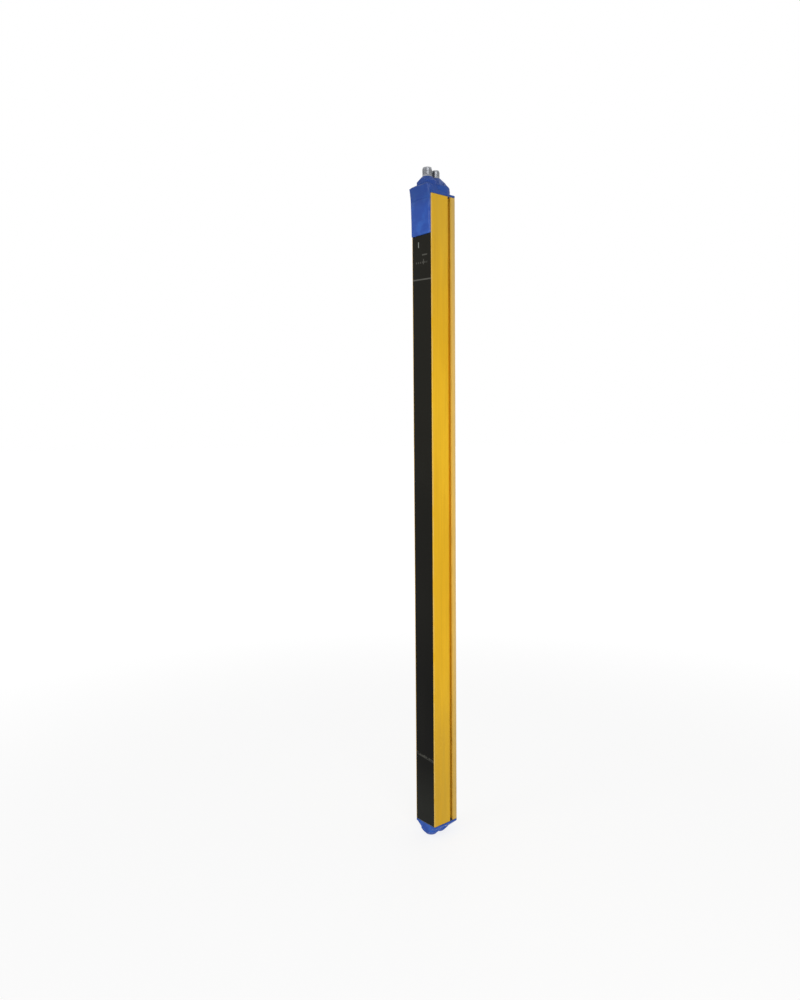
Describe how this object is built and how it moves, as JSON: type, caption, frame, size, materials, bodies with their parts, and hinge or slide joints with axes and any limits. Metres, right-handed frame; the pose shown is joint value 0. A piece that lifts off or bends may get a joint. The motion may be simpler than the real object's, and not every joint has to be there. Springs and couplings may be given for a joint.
{
  "type": "safety light curtain",
  "caption": "Tall slim safety light curtain bar: yellow slotted extrusion with a dark front window, blue end caps and two round connectors on top.",
  "frame": {"origin": "centre of the flat rear face, halfway along the extrusion", "axes": "+Z along the bar towards the end with the connectors, the window faces -Y, +X across the front"},
  "size_m": [0.042, 0.054, 0.988],
  "materials": {
    "yellow_aluminium": "yellow powder coat on an aluminium extrusion, satin",
    "window_black": "dark infrared-passing acrylic, polished",
    "cap_blue": "blue moulded plastic, satin",
    "foam_black": "black foam strip",
    "gasket_grey": "grey rubber",
    "screw_steel": "zinc plated steel",
    "nickel_brass": "nickel plated brass",
    "insert_black": "black moulded plastic",
    "contact_gold": "gold plated",
    "board_green": "glass fibre circuit board",
    "carrier_black": "black moulded plastic",
    "lens_clear": "clear acrylic",
    "diode_dark": "dark epoxy",
    "ribbon_tan": "polyimide ribbon",
    "display_body": "grey moulded plastic",
    "lamp_clear": "clear epoxy",
    "parts_dark": "dark moulded plastic",
    "spring_steel": "spring steel leaf"
  },
  "bodies": {
    "root": {"beam_board_1": "board_green", "beam_board_2": "board_green", "beam_board_3": "board_green", "beam_board_4": "board_green", "beam_board_5": "board_green", "beam_diodes": "diode_dark", "board_tray": "carrier_black", "connector_board": "board_green", "connector_gasket": "gasket_grey", "connector_ribbon": "ribbon_tan", "earth_spring": "spring_steel", "extension_connector_contacts": "contact_gold", "extension_connector_insert": "insert_black", "extension_connector_shell": "nickel_brass", "front_window": "window_black", "head_cover": "cap_blue", "housing_profile": "yellow_aluminium", "lens_strip_1": "lens_clear", "lens_strip_2": "lens_clear", "lens_strip_3": "lens_clear", "lens_strip_4": "lens_clear", "lens_strip_5": "lens_clear", "light_guide": "lens_clear", "link_ribbons": "ribbon_tan", "lower_cap": "cap_blue", "lower_cap_gasket": "gasket_grey", "lower_cap_screws": "screw_steel", "lower_end_pad": "foam_black", "main_board": "board_green", "optics_carrier_1": "carrier_black", "optics_carrier_2": "carrier_black", "optics_carrier_3": "carrier_black", "optics_carrier_4": "carrier_black", "optics_carrier_5": "carrier_black", "power_board": "board_green", "power_parts": "parts_dark", "status_display": "display_body", "status_lamps": "lamp_clear", "supply_connector_contacts": "contact_gold", "supply_connector_insert": "insert_black", "supply_connector_shell": "nickel_brass", "upper_cap": "cap_blue", "upper_cap_gasket": "gasket_grey", "upper_cap_screws": "screw_steel", "upper_end_pad": "foam_black", "window_seal_left": "foam_black", "window_seal_right": "foam_black"}
  },
  "joints": []
}
